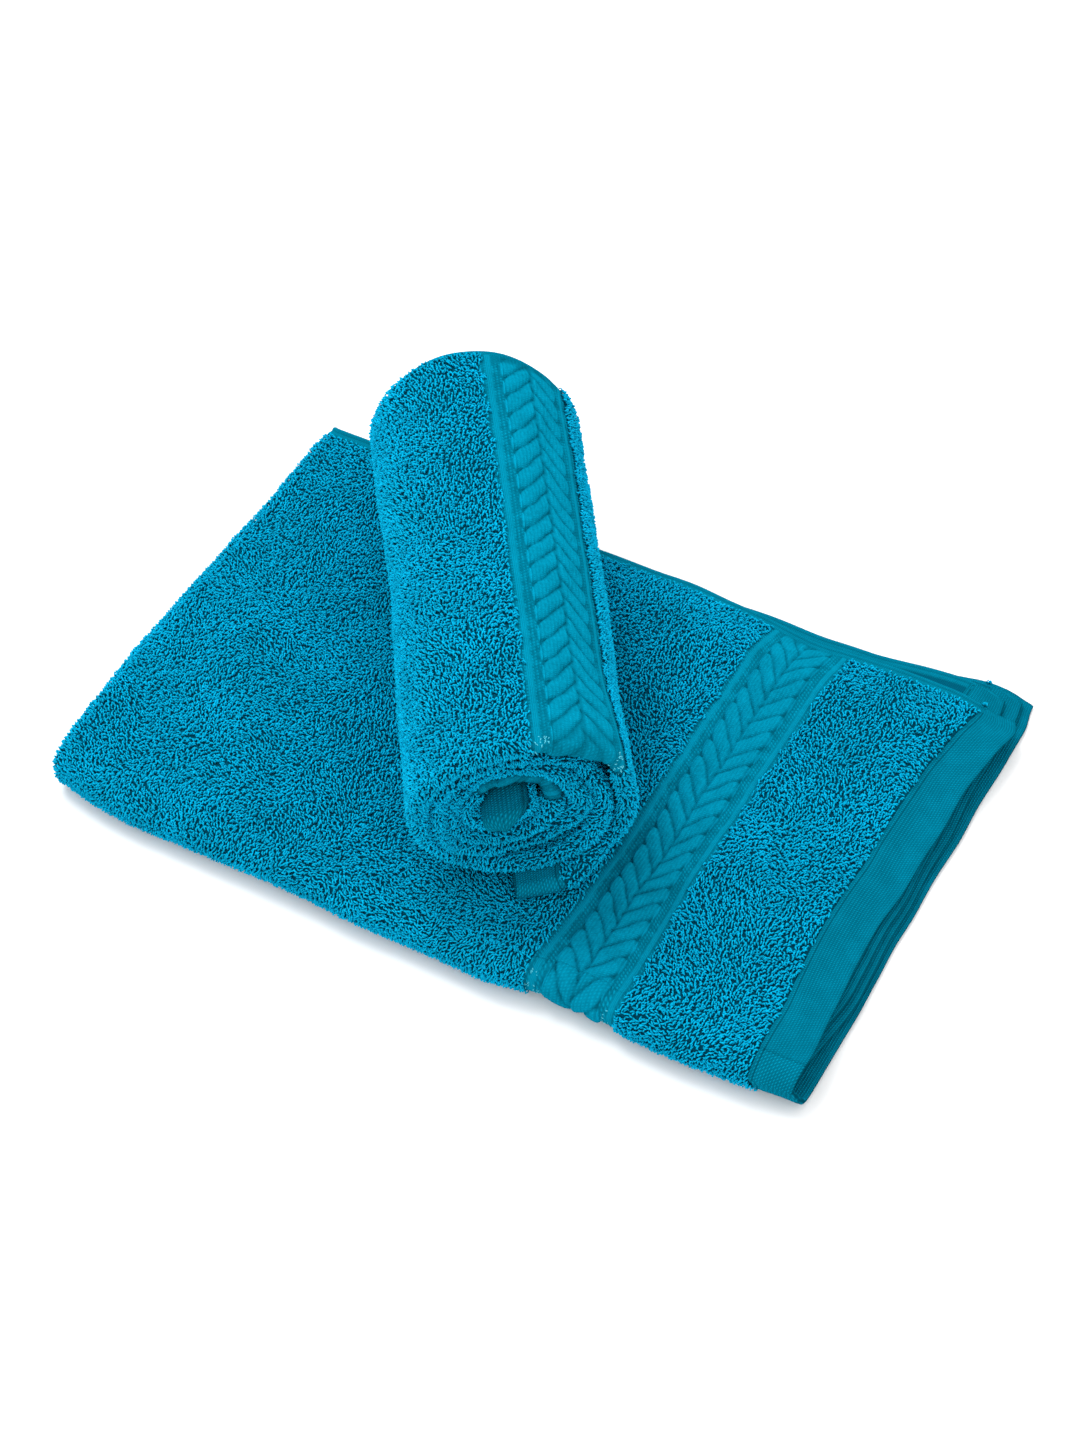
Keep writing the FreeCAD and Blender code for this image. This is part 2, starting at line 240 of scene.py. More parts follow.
    def place(self, u, v, h):
        u, v, h = np.broadcast_arrays(np.asarray(u, float), np.asarray(v, float), np.asarray(h, float))
        turned = np.clip((u - self.run) / self.bend, 0, math.pi)
        beyond = np.maximum(u - self.run - self.end_arc, 0)
        x = np.where(u < self.run, self.hem_x - u, self.end_x + beyond)
        out = (self.bend + h) * np.cos(turned)
        angle = np.clip(v / self.turn, -math.pi / 2, math.pi / 2)
        radius = self.turn + out
        y = self.fold_y + np.maximum(np.abs(v) - self.quarter, 0) - radius * np.cos(angle)
        z = self.middle + radius * np.sin(angle)
        outer = u < self.run + self.end_arc / 2
        x = x + np.where(outer, self.skew(x, v), 0) - (self.bend + h) * np.sin(turned)
        inner = smooth(u, self.run, self.run + self.end_arc)
        return np.stack(self.settle(x, y, z, inner), axis=-1)


class RolledTowel:
    """The rolled towel's cloth. v is above 0 in the outer ply of the wound pair and below 0 in the inner."""

    HEM_SLIPPED = 0.36              # radians that the loose hem has slipped back round the roll
    HEM_OUT, CORE_OUT = 9.0, 9.0    # how far the loose hem and the core stick out at the front
    HEM_SUNK, CORE_SUNK = 2.4, 2.2  # and how far they lie in from the turn's radius
    HEM_FATTER, CORE_FATTER = 0.8, 2.2
    BACK_SLIPPED, BACK_CREST = 3.6, 3.0
    HOLLOW, HOLLOW_AT = 3.6, 1.95   # a gap under the outer turn at the front, and how far round it is
    CURL = 3.0                      # how far the selvedge curls in at the back
    BACK_FATTER, BACK_SHIFT = 2.2, 1.6
    HEM_DRAWN = 64.0                # how much of the cloth slips back with the loose hem
    # The inner turns at the front: the way that they are pressed long, how much longer they are that way and
    # flatter across it, and how far they lie off centre.
    LONG_WAY_X, LONG_WAY_Z = 0.82, 0.57
    LONGER, FLATTER = 0.20, 0.16
    OFF_CENTRE_X, OFF_CENTRE_Z = -5.2, 3.6

    def __init__(self):
        self.bend = ROLL_PAIR / 2 - 1.65
        self.quarter = self.bend * math.pi / 2
        self.front = ROLL_HALF_SPAN - ROLL_PAIR / 2
        self.grow = ROLL_PITCH / math.tau
        self.mean = ROLL_RADIUS - ROLL_PAIR / 2
        self.middle = corner("roll_outer_hem", False)[2] + ROLL_HALF_HEIGHT * ROLL_STANDS + ROLL_CLEAR
        wound = ROLL_TURNS * math.tau
        self.length = self.mean * wound - self.grow * wound ** 2 / 2
        self.reach = self.border_reach = ROLL_HALF_SPAN + self.front + self.quarter

    def edge(self, u, side):
        """v of the selvedge's edge."""
        return self.reach * (1 if side == "upper" else -1) * np.ones_like(np.asarray(u, float))

    def turned(self, u):
        """The angle through which the cloth has wound at u."""
        wound = (self.mean - np.sqrt(np.maximum(self.mean ** 2 - 2 * self.grow * u, 0))) / self.grow
        return wound - self.HEM_SLIPPED * (1 - smooth(u, 0, self.HEM_DRAWN))

    def press(self, x, z, radius, flat):
        """The inner turns are pressed out of round at the front end: flatter, off centre and uneven."""
        at_front = 1 - smooth(flat, 20, 80)
        pressed = (1 - smooth(radius, 9, 36)) * at_front
        longer = self.LONGER * (x * self.LONG_WAY_X + z * self.LONG_WAY_Z)
        flatter = self.FLATTER * (z * self.LONG_WAY_X - x * self.LONG_WAY_Z)
        x, z = (x + pressed * (longer * self.LONG_WAY_X + flatter * self.LONG_WAY_Z),
                z + pressed * (longer * self.LONG_WAY_Z - flatter * self.LONG_WAY_X))
        uneven = 1.5 * (1 - smooth(radius, 28, 37)) * at_front
        x = x + self.OFF_CENTRE_X * pressed + uneven * drift(x, z, 12, 15)
        z = z + self.OFF_CENTRE_Z * pressed + uneven * drift(x, z, 12, 16)
        return x, z

    def place(self, u, v, h):
        u, v, h = np.broadcast_arrays(np.asarray(u, float), np.asarray(v, float), np.asarray(h, float))
        turned = self.turned(u)
        angle = ROLL_START + turned
        core = smooth(u, self.length - 34, self.length - 6)
        loose_hem = 1 - smooth(u, 14, 34)
        bend = self.bend + self.CORE_FATTER * core + self.HEM_FATTER * loose_hem
        side = np.clip(v / self.bend, -math.pi / 2, math.pi / 2)
        flat = np.maximum(np.abs(v) - self.quarter, 0)
        outside = 1 - smooth(turned, 5.2, 7.4)
        at_front, at_back = 1 - smooth(flat, 0, 45), smooth(flat, 95, 190)

        # The turns slip a little past each other at both ends.
        ragged = (3.4 * drift(turned, 0 * turned, 1.4, 11) + 1.4) * smooth(turned, 4.5, 7.5)
        ragged = ragged - self.HEM_OUT * loose_hem - self.CORE_OUT * core
        crest = self.BACK_CREST * np.exp(-((angle - 1.5) / 0.75) ** 2)
        slipped = 1.2 * drift(turned, 0 * turned, 1.5, 12) + self.BACK_SLIPPED + crest
        along = flat - self.front - (bend + h) * np.cos(side) + ragged * at_front + slipped * at_back

        # The outer turn is soft and lies loose over a hollow at the front; its selvedge curls in at the back.
        soft = 0.9 * drift(turned * 40, along, 45, 13) + 0.35 * drift(turned * 40, along, 14, 14) + 1.0
        hollow = self.HOLLOW * np.exp(-((turned - self.HOLLOW_AT) / 0.3) ** 2) * at_front
        edge = self.reach - self.quarter
        curl = self.CURL * smooth(flat, edge - 7, edge)
        radius = self.mean - self.grow * turned + (bend + h) * np.sin(side) - self.CORE_SUNK * core
        radius = radius + outside * (soft + hollow - curl + self.BACK_FATTER * at_back)
        radius = radius - self.HEM_SUNK * (1 - smooth(u, 16, 40)) * at_front

        x, z = radius * np.cos(angle) - self.BACK_SHIFT * at_back, radius * np.sin(angle)
        x, z = self.press(x, z, radius, flat)
        z = self.middle + z * ROLL_HALF_HEIGHT / ROLL_RADIUS
        cos, sin = math.cos(ROLL_TURNED), math.sin(ROLL_TURNED)
        x, y = x * cos - along * sin, x * sin + along * cos
        return np.stack((ROLL_CENTRE[0] + x, ROLL_CENTRE[1] + y, z), axis=-1)


# Materials.

def principled(name, colour, roughness, sheen=0.0, specular=0.02):
    """A material whose even values are on the shader's own sockets."""
    material = bpy.data.materials.new(name)
    material.use_nodes = True
    shader = material.node_tree.nodes["Principled BSDF"]
    shader.inputs["Base Color"].default_value = (*colour, 1)
    shader.inputs["Roughness"].default_value = roughness
    shader.inputs["Specular IOR Level"].default_value = specular
    shader.inputs["Sheen Weight"].default_value = sheen
    shader.inputs["Sheen Roughness"].default_value = 0.5
    shader.inputs["Sheen Tint"].default_value = (0.0, 0.62, 0.95, 1)
    return material


def yarn_materials():
    """The pile's yarn: the loops' feet in painted shade, then five tones, because yarn takes dye unevenly."""
    return [principled(f"pile_yarn_{i}", np.array(PILE_COLOUR) * tone, 0.85, sheen=0.1 * (i > 0))
            for i, tone in enumerate(FOOT_SHADE_AND_YARN_TONES)]


def maths(tree, operation, first, second=None):
    """A Math node on two sockets or numbers."""
    node = tree.nodes.new("ShaderNodeMath")
    node.operation = operation
    for socket, value in zip(node.inputs, (first, second)):
        if isinstance(value, bpy.types.NodeSocket):
            tree.links.new(value, socket)
        elif value is not None:
            socket.default_value = value
    return node.outputs[0]


def woven(name, colour, roughness, pattern, depth, dark, light, painted_groove_shade=None):
    """A flat-woven material. pattern(tree, u, v) gives the threads' height, 0 to 1, at a place on the cloth.

    dark and light are the colour's brightness at the threads' feet and tops: painted shade and painted light.
    painted_groove_shade is the range of heights, on either face of the cloth, through which the colour goes
    from half to full: painted shade in the cloth's low places.
    """
    material = principled(name, colour, roughness, specular=0.0)
    tree = material.node_tree
    shader = tree.nodes["Principled BSDF"]
    cloth = tree.nodes.new("ShaderNodeAttribute")
    cloth.attribute_name = "cloth"
    split = tree.nodes.new("ShaderNodeSeparateXYZ")
    tree.links.new(cloth.outputs["Vector"], split.inputs[0])
    height = pattern(tree, split.outputs[0], split.outputs[1])

    patches = tree.nodes.new("ShaderNodeTexNoise")
    patches.inputs["Scale"].default_value = 0.12
    patches.inputs["Detail"].default_value = 3
    tree.links.new(cloth.outputs["Vector"], patches.inputs["Vector"])
    uneven = maths(tree, "MULTIPLY", maths(tree, "SUBTRACT", patches.outputs[0], 0.5), 0.5)
    # Painted shade at the threads' feet and painted light on their tops, with uneven patches over them.
    ramp = tree.nodes.new("ShaderNodeMix")
    ramp.data_type = "RGBA"
    tree.links.new(maths(tree, "ADD", height, uneven), ramp.inputs["Factor"])
    ramp.inputs["A"].default_value = (*(np.array(colour) * dark), 1)
    ramp.inputs["B"].default_value = (*(np.array(colour) * light), 1)
    result = ramp.outputs["Result"]
    # Painted shade: the colour is darker where the cloth lies low, in its grooves and furrows.
    if painted_groove_shade:
        painted_shade_factor = tree.nodes.new("ShaderNodeMapRange")
        tree.links.new(maths(tree, "ABSOLUTE", split.outputs[2]), painted_shade_factor.inputs["Value"])
        painted_shade_factor.inputs["From Min"].default_value, painted_shade_factor.inputs["From Max"].default_value = painted_groove_shade
        painted_shade_factor.inputs["To Min"].default_value = 0.5
        scaled = tree.nodes.new("ShaderNodeVectorMath")
        scaled.operation = "SCALE"
        tree.links.new(result, scaled.inputs[0])
        tree.links.new(painted_shade_factor.outputs["Result"], scaled.inputs["Scale"])
        result = scaled.outputs[0]
    tree.links.new(result, shader.inputs["Base Color"])

    bump = tree.nodes.new("ShaderNodeBump")
    bump.inputs["Distance"].default_value = depth * MM
    bump.inputs["Strength"].default_value = 1
    tree.links.new(height, bump.inputs["Height"])
    tree.links.new(bump.outputs["Normal"], shader.inputs["Normal"])
    return material


def wave(tree, value, pitch):
    """0 to 1 and back over each pitch."""
    turns = maths(tree, "MULTIPLY", value, math.tau / pitch)
    return maths(tree, "ADD", maths(tree, "MULTIPLY", maths(tree, "SINE", turns), 0.5), 0.5)


def dots(tree, u, v, across, along, slant):
    """Small raised dots, one every across by along, in rows that slant."""
    slanted = maths(tree, "ADD", v, maths(tree, "MULTIPLY", u, slant))
    return maths(tree, "MULTIPLY", wave(tree, u, across), wave(tree, slanted, along))


def twill(tree, u, v):
    """Short slanting floats in columns along the hem."""
    return dots(tree, u, v, 1.0, 0.9, 0.55)


def speckle(tree, u, v, scale, stretch=1.0):
    """Fine noise over the cloth, drawn out along v where stretch is under 1."""
    noise = tree.nodes.new("ShaderNodeTexNoise")
    noise.inputs["Scale"].default_value = scale
    noise.inputs["Detail"].default_value = 3
    place = tree.nodes.new("ShaderNodeCombineXYZ")
    tree.links.new(u, place.inputs[0])
    tree.links.new(maths(tree, "MULTIPLY", v, stretch), place.inputs[1])
    tree.links.new(place.outputs[0], noise.inputs["Vector"])
    return noise.outputs[0]


def mesh_weave(tree, u, v):
    """Uneven crossings over a mesh whose holes are in the shape itself; woven makes the high ones lighter,
    painted light.
    """
    return speckle(tree, u, v, 1.6)


def plain_weave(tree, u, v):
    """Close threads that cross over and under."""
    return dots(tree, u, v, 0.75, 0.8, 0)


def brushed_weave(tree, u, v):
    """Soft floats across the leaf, with stray fibres between them."""
    floats = maths(tree, "MULTIPLY", dots(tree, u, v, 1.3, 0.75, 0.3), 0.35)
    return maths(tree, "ADD", floats, maths(tree, "MULTIPLY", speckle(tree, u, v, 1.4, 0.4), 0.75))


def satin_weave(tree, u, v):
    """Long threads that lie along the rib."""
    return maths(tree, "ADD", maths(tree, "MULTIPLY", wave(tree, u, 0.6), 0.4),
                 maths(tree, "MULTIPLY", speckle(tree, u, v, 2.0, 0.5), 0.6))


PILE_COLOUR = (0.0006, 0.37, 0.60)
# The first tone is painted shade at the loops' feet; the others are the yarn's uneven dye.
FOOT_SHADE_AND_YARN_TONES = (0.46, 0.80, 0.90, 1.0, 1.10, 1.20)
WEAVE_COLOUR = (0.0006, 0.20, 0.315)
# The ground cloth is darker than the weave: painted shade in the gaps between the loops.
SHADED_GROUND_COLOUR = (0.0004, 0.10, 0.17)
pile_yarns = yarn_materials()
ground_material = woven("ground_weave_painted_shade", SHADED_GROUND_COLOUR, 0.9, plain_weave, 0.12, 0.7, 1.1)
chevron_material = woven("chevron_weave", WEAVE_COLOUR, 0.9, brushed_weave, 0.35, 0.55, 1.5, (0.75, 1.9))
stripe_material = woven("mesh_stripe", WEAVE_COLOUR, 0.8, mesh_weave, 0.2, 0.7, 1.8, (0.65, 1.05))
rib_material = woven("satin_rib", WEAVE_COLOUR, 0.9, satin_weave, 0.15, 0.6, 1.35)
hem_material = woven("flat_weave", WEAVE_COLOUR, 0.8, twill, 0.3, 0.55, 1.45, (0.5, 1.0))
edge_material = woven("selvedge_weave", WEAVE_COLOUR, 0.85, plain_weave, 0.25, 0.7, 1.35, (0.4, 0.85))
# Painted glints: a lighter thread colour, with real gloss.
glint_material = principled("painted_glint_thread", (0.06, 0.52, 0.66), 0.4, specular=0.3)


# Meshes.

FLOOR_CLEAR = 0.05


def make_piece(name, points, faces, materials, cloth=None, material_index=None):
    """A mesh piece from points in millimetres, pressed flat where it rests on z = 0, with outward faces."""
    points = points.reshape(-1, 3)
    points[:, 2] = np.maximum(points[:, 2], FLOOR_CLEAR)
    corners = points[faces]
    facing = np.cross(corners[:, 1] - corners[:, 0], corners[:, -1] - corners[:, 0])
    outward = corners.mean(1) - points.mean(0)
    if outward.ravel() @ facing.ravel() < 0:
        faces = faces[:, ::-1]
    mesh = bpy.data.meshes.new(name)
    mesh.vertices.add(len(points))
    mesh.loops.add(faces.size)
    mesh.polygons.add(len(faces))
    mesh.vertices.foreach_set("co", (points * MM).astype(np.float32).ravel())
    mesh.loops.foreach_set("vertex_index", np.ascontiguousarray(faces, dtype=np.int32).ravel())
    mesh.polygons.foreach_set("loop_start", np.arange(0, faces.size, faces.shape[1], dtype=np.int32))
    mesh.polygons.foreach_set("use_smooth", np.ones(len(faces), bool))
    for material in materials:
        mesh.materials.append(material)
    if material_index is not None:
        mesh.polygons.foreach_set("material_index", np.asarray(material_index, dtype=np.int32))
    if cloth is not None:
        attribute = mesh.attributes.new("cloth", "FLOAT_VECTOR", "POINT")
        attribute.data.foreach_set("vector", cloth.astype(np.float32).ravel())
    mesh.update(calc_edges=True)
    piece = bpy.data.objects.new(name, mesh)
    bpy.context.scene.collection.objects.link(piece)
    return piece


def grid(rows, columns, closed=False):
    """Faces of a grid of points, row by row. closed joins its last column to its first."""
    r, c = np.meshgrid(np.arange(rows - 1), np.arange(columns if closed else columns - 1), indexing="ij")
    first, following = r * columns, (r + 1) * columns
    n = (c + 1) % columns
    return np.stack((first + c, first + n, following + n, following + c), -1).reshape(-1, 4)


def end_caps(rows, columns):
    """Faces that close a flat tube's two ends. Its columns go out along one face and back along the other."""
    c = np.arange(columns // 2 - 1)
    cap = np.stack((c + 1, c, columns - 1 - c, columns - 2 - c), -1)
    return np.concatenate((cap, cap[:, ::-1] + (rows - 1) * columns))


def flat_tube(name, towel, u, v, low, high, materials, material_index=None):
    """A closed piece between the heights low and high, over u and v, all four in (rows, columns) arrays."""
    u2, v2 = np.concatenate((u, u[:, ::-1]), 1), np.concatenate((v, v[:, ::-1]), 1)
    h2 = np.concatenate((high, low[:, ::-1]), 1)
    rows, columns = u2.shape
    faces = np.concatenate((grid(rows, columns, closed=True), end_caps(rows, columns)))
    cloth = np.stack((u2, v2, h2), -1).reshape(-1, 3)
    return make_piece(name, towel.place(u2, v2, h2), faces, materials, cloth, material_index)


def spaced(*stops):
    """Numbers from the first stop to the last, with the step that follows each stop: a, step, b, step, c."""
    runs = [np.linspace(a, b, max(2, round(abs(b - a) / step) + 1))[:-1]
            for a, step, b in zip(stops[0::2], stops[1::2], stops[2::2])]
    return np.concatenate(runs + [[stops[-1]]])


def ground_cloth(name, towel, u, shares):
    """A towel's cloth from hem to hem, without its pile.

    shares are of the way to the lower edge, where they are below 0, or to the upper. The cloth ends 1 mm inside
    the edges.
    """
    low, high = towel.edge(u, "lower")[:, None], towel.edge(u, "upper")[:, None]
    v = np.where(shares < 0, -shares * (low + 1), shares * (high - 1))
    uu = np.broadcast_to(u[:, None], v.shape)
    thick = np.full(v.shape, GROUND)
    return flat_tube(name, towel, uu, v, -thick, thick, [ground_material])


# Pile.

SCATTER = 0.36                  # how far a loop stands off its place, in gaps


def scatter(u0, u1, v0, v1, rng, gap_u, gap_v):
    """Places for loops: a staggered grid, unsettled by chance."""
    u, v = np.meshgrid(np.arange(u0, u1, gap_u), np.arange(v0, v1, gap_v), indexing="ij")
    u = u + rng.uniform(-SCATTER, SCATTER, u.shape) * gap_u
    v = v + rng.uniform(-SCATTER, SCATTER, v.shape) * gap_v
    v = v + (np.arange(u.shape[0]) % 2)[:, None] * gap_v / 2
    return u.ravel(), v.ravel()


LOOP_LEAN = np.array((-0.36, -0.40, 0.06, 0.50, 0.48))      # the yarn's middle line, in spans
LOOP_RISE = np.array((-0.15, 0.62, 1.0, 0.60, -0.15))       # and in heights
LOOP_RINGS = ((1, 0.95, 0.6), (2, 1.08, 1.0), (3, 0.9, 0.6))    # place, thickness and share of the bow
LOOP_SIDES = 4
LOOP_FOOT = 0.6                 # how far its foot is out of the ground cloth's middle, in half thicknesses
LEANS_BACK = 2.2                # radians from the towel's length that the pile mostly leans


def loop_faces(count):
    """Triangles of count loops, each two end points and three rings."""
    s = np.arange(LOOP_SIDES)
    n = (s + 1) % LOOP_SIDES
    rings = [1 + LOOP_SIDES * k for k in range(3)]
    last = 1 + 3 * LOOP_SIDES
    faces = [np.stack((0 * s, rings[0] + n, rings[0] + s), -1),
             np.stack((0 * s + last, rings[2] + s, rings[2] + n), -1)]
    for a, b in zip(rings, rings[1:]):
        faces += [np.stack((a + s, a + n, b + n), -1), np.stack((a + s, b + n, b + s), -1)]
    one = np.concatenate(faces)
    return (np.arange(count)[:, None, None] * (last + 1) + one).reshape(-1, 3), len(one)


def pile(name, towel, u, v, side, rng, height=PILE_HEIGHT, size=1.0, lean_seed=31, yarns=None):
    """Loops of yarn that stand on one face of the cloth and lean together in patches."""
    step = 0.4
    foot = side * GROUND * LOOP_FOOT
    root = towel.place(u, v, foot)
    up = towel.place(u, v, side * (GROUND + step)) - root
    along = towel.place(u + step, v, foot) - root
    up /= np.linalg.norm(up, axis=1, keepdims=True)
    along -= (along * up).sum(1, keepdims=True) * up
    along /= np.linalg.norm(along, axis=1, keepdims=True)
    beside = np.cross(up, along)

    count = len(u)
    patches = 1.7 * drift(u, v, 30, lean_seed) + 0.9 * drift(u, v, 7, lean_seed + 1)
    lean = patches + rng.normal(0, 0.5, count) - LEANS_BACK
    forward = np.cos(lean)[:, None] * along + np.sin(lean)[:, None] * beside
    across = np.cross(up, forward)
    span = LOOP_SPAN * size * rng.uniform(0.75, 1.25, count)[:, None, None]
    rise = height * rng.uniform(0.6, 1.18, count)[:, None, None]
    bow = 0.32 * rng.normal(0, 1, count)[:, None, None]
    yarn = YARN * size * rng.uniform(0.85, 1.15, count)[:, None, None]

    slope_a, slope_c = np.gradient(LOOP_LEAN * LOOP_SPAN), np.gradient(LOOP_RISE * PILE_HEIGHT)
    slope = np.hypot(slope_a, slope_c)
    turn = np.arange(LOOP_SIDES) * math.tau / LOOP_SIDES + math.pi / 4
    a, b, c = [LOOP_LEAN[0] * span], [0 * span], [LOOP_RISE[0] * rise]
    for k, thick, bowed in LOOP_RINGS:
        ring = thick * yarn * np.sin(turn)
        a.append(LOOP_LEAN[k] * span - ring * slope_c[k] / slope[k])
        b.append(bow * bowed + thick * yarn * np.cos(turn))
        c.append(LOOP_RISE[k] * rise + ring * slope_a[k] / slope[k])
    a.append(LOOP_LEAN[4] * span)
    b.append(0 * span)
    c.append(LOOP_RISE[4] * rise)
    a, b, c = (np.concatenate(parts, axis=2).reshape(count, -1, 1) for parts in (a, b, c))
    points = root[:, None, :] + a * forward[:, None, :] + b * across[:, None, :] + c * up[:, None, :]

    faces, each = loop_faces(count)
    tone = 3 + rng.normal(0, 0.9, count) + 0.8 * drift(u, v, 11, lean_seed + 2)
    tone = np.clip(np.round(tone), 1, len(FOOT_SHADE_AND_YARN_TONES) - 1).astype(int)
    index = np.repeat(tone, each).reshape(count, each)
    # The loops' feet take the darkest material, painted shade where the loops stand close.
    index[:, :2 * LOOP_SIDES] = 0
    index = index.ravel() * (yarns is None)
    return make_piece(name, points, faces, yarns or pile_yarns, material_index=index)


def has_pile(towel, u, v):
    """Where the cloth has pile: not in its hems nor its borders, and with ragged edges."""
    ragged = 0.8 * drift(v, 0 * v, 2.5, 71) + 0.4 * drift(v, 0 * v, 9, 72)
    from_end = np.minimum(u, towel.length - u)
    in_border = np.abs(from_end - BORDER_MIDDLE) < BORDER / 2 - 1.3 + ragged
    return (from_end > HEM + 0.7 + 0.5 * ragged) & ~in_border


def pile_field(name, towel, u_range, v_range, rng, gap_u=PILE_GAP, gap_v=PILE_GAP, **how):
    """Pile over a stretch of cloth, in as many pieces as its loops need. Round a bend the gap is smaller."""
    u, v = scatter(*u_range, *v_range, rng, gap_u, gap_v)
    keep = has_pile(towel, u, v)
    u, v = u[keep], v[keep]
    order = np.argsort(u, kind="stable")
    parts = np.array_split(order, math.ceil(len(u) / MOST_LOOPS))
    names = [name] if len(parts) == 1 else [f"{name}_{i + 1}" for i in range(len(parts))]
    return [pile(part_name, towel, u[part], v[part], 1, rng, **how) for part_name, part in zip(names, parts)]


def glints(name, towel, v0, v1, count, rng):
    """Thread ends in the mesh stripes where they go over a fold: their lighter colour is painted glint, their
    gloss real.
    """
    away = rng.uniform(CHEVRON_HALF + 0.3, BORDER / 2, count) * rng.choice((-1, 1), count)
    return pile(name, towel, BORDER_MIDDLE + away, rng.uniform(v0, v1, count), 1, rng, height=0.75, size=0.6,
                yarns=[glint_material])


# Border.

def border_relief(a, b):
    """The border's height over its ground: a is across from its middle, b along it to the chevrons' points.

    Each chevron is two leaves that start from a spine of small zigzags, half a pitch apart on its two sides.
    """
    wobble = 0.7 * drift(a, b, 7, 41)
    from_spine = a - 0.6 * (2 * np.abs((b / CHEVRON_PITCH) % 1 - 0.5) - 0.5)
    reach = np.abs(from_spine)
    slanted = 1.05 * reach + 2.2 * (1 - np.exp(-reach / 2.2))
    row = (b + wobble + slanted) / CHEVRON_PITCH + 0.5 * (from_spine > 0)
    along_row = row % 1
    puff = np.sin(math.pi * along_row ** 0.8) ** 0.62
    groove = 1 - 0.3 * smooth(reach, 3, 10)
    rounded_end = CHEVRON_HALF - 2.4 * (1 - np.sqrt(np.clip(1 - (2 * along_row - 1) ** 2, 0, 1)))
    tip = 1 - smooth(reach, rounded_end - 1.5, rounded_end)
    leaf = (0.2 + 1.7 * (1 - groove * (1 - puff))) * tip * (0.5 + 0.5 * smooth(reach, 0, 1.3))
    rib_middle, rib_half = (RIB_IN + RIB_OUT) / 2, (RIB_OUT - RIB_IN) / 2
    rib = 0.35 * np.sqrt(np.clip(1 - ((np.abs(a) - rib_middle) / rib_half) ** 2, 0, 1))
    mesh = 0.12 * (1 + np.sin(math.tau * a / MESH_PITCH))
    mesh = mesh * (1 + np.sin(math.tau * (b / 1.1 + 0.6 * a) / MESH_PITCH))
    in_mesh = smooth(np.abs(a), rounded_end, rounded_end + 0.4) * (np.abs(np.abs(a) - rib_middle) > rib_half)
    return leaf + rib + mesh * in_mesh + 0.12 * drift(a, b, 2.2, 42)


BORDER_EDGE = 0.1               # the strip's half thickness where it is let into the ground cloth
EDGE_LAP = 0.5                  # the border goes this far under a selvedge, and the hems end this far inside


def border(name, towel, v, points_to_fold, at_far_end=False, step=0.4, meets=(False, False)):
    """The chevron band and its two stripes, as one strip of raised weave over the columns v.

    It is flatter near the selvedge, and near the fold where the chevrons point away from it. Its ends taper to
    the ground, unless they meet another strip of border.
    """
    across = spaced(-BORDER / 2, step, BORDER / 2)
    middle = towel.length - BORDER_MIDDLE if at_far_end else BORDER_MIDDLE
    u, vv = np.meshgrid(middle + across, v, indexing="ij")
    flattened = 0.3 + 0.7 * smooth(towel.border_reach - SELVEDGE + EDGE_LAP - vv, 3, 9)
    if not points_to_fold:
        flattened = flattened * (0.5 + 0.5 * smooth(vv, 4, 22))
    high = GROUND + 0.15 + flattened * border_relief(u - middle, -vv if points_to_fold else vv)
    high[[0, -1]] = BORDER_EDGE
    for end, is_met in zip((0, -1), meets):
        if not is_met:
            high[:, end] = BORDER_EDGE
    low = np.full(u.shape, -BORDER_EDGE)
    away = np.abs((across[1:] + across[:-1]) / 2)
    zone = np.where(away < CHEVRON_HALF - 0.8, 0, np.where((away > RIB_IN) & (away < RIB_OUT), 2, 1))
    rows, columns = u.shape[0], u.shape[1] * 2
    index = np.concatenate((np.repeat(zone, columns), np.zeros(2 * (columns // 2 - 1), int)))
    return flat_tube(name, towel, u, vv, low, high, [chevron_material, stripe_material, rib_material], index)


# Hems and selvedges.

# Profiles: how far in from the edge, and how high for a thickness of 1.
HEM_PROFILE = ((-0.2, 0.0), (0.1, 0.6), (0.7, 0.95), (1.6, 1.0), (4, 0.96), (7.5, 0.93), (11, 0.95),
               (13.2, 1.0), (14.2, 0.92), (14.8, 0.55), (15.4, 0.9), (16.4, 0.8), (17.2, 0.2))
SELVEDGE_PROFILE = ((0.0, 0.0), (0.2, 0.8), (0.8, 1.3), (1.5, 1.15), (2.0, 0.7), (2.6, 0.95), (3.4, 1.05),
                    (4.2, 1.0), (4.9, 0.8), (5.6, 0.2))
HEM_THICK, INNER_HEM_THICK, CORE_HEM_THICK = 1.15, 1.0, 0.9
SELVEDGE_THICK = 0.8
END_IN = 0.8                    # the ground cloth and the selvedges end this far inside the hems' edges


def hem(name, towel, u_edge, inward, v, thick):
    """A turned, stitched end: doubled cloth with a rounded edge, a groove at the seam and a bead beyond it."""
    u = np.array([u_edge + inward * p for p, _ in HEM_PROFILE])[:, None] * np.ones_like(v)
    vv = v * np.ones((len(HEM_PROFILE), 1))
    high = thick * np.array([q for _, q in HEM_PROFILE])[:, None] * np.ones_like(v)
    high = high * (1 + 0.05 * drift(u, vv, 9, 21))
    return flat_tube(name, towel, u, vv, -high, high, [hem_material])


def selvedge(name, towel, u, side):
    """The woven edge: a flat strip with a fine rounded rim and a ridge where the pile begins."""
    sign = 1 if side == "upper" else -1
    edge = towel.edge(u, side)
    v = np.array([edge - sign * p for p, _ in SELVEDGE_PROFILE])
    uu = u * np.ones((len(SELVEDGE_PROFILE), 1))
    high = SELVEDGE_THICK * np.array([q for _, q in SELVEDGE_PROFILE])[:, None] * np.ones_like(u)
    return flat_tube(name, towel, uu, v, -high, high, [edge_material])


# The folded towel.

folded = FoldedTowel()
BEHIND_FOLD = 9.0                           # how far the pile at the front fold goes on underneath
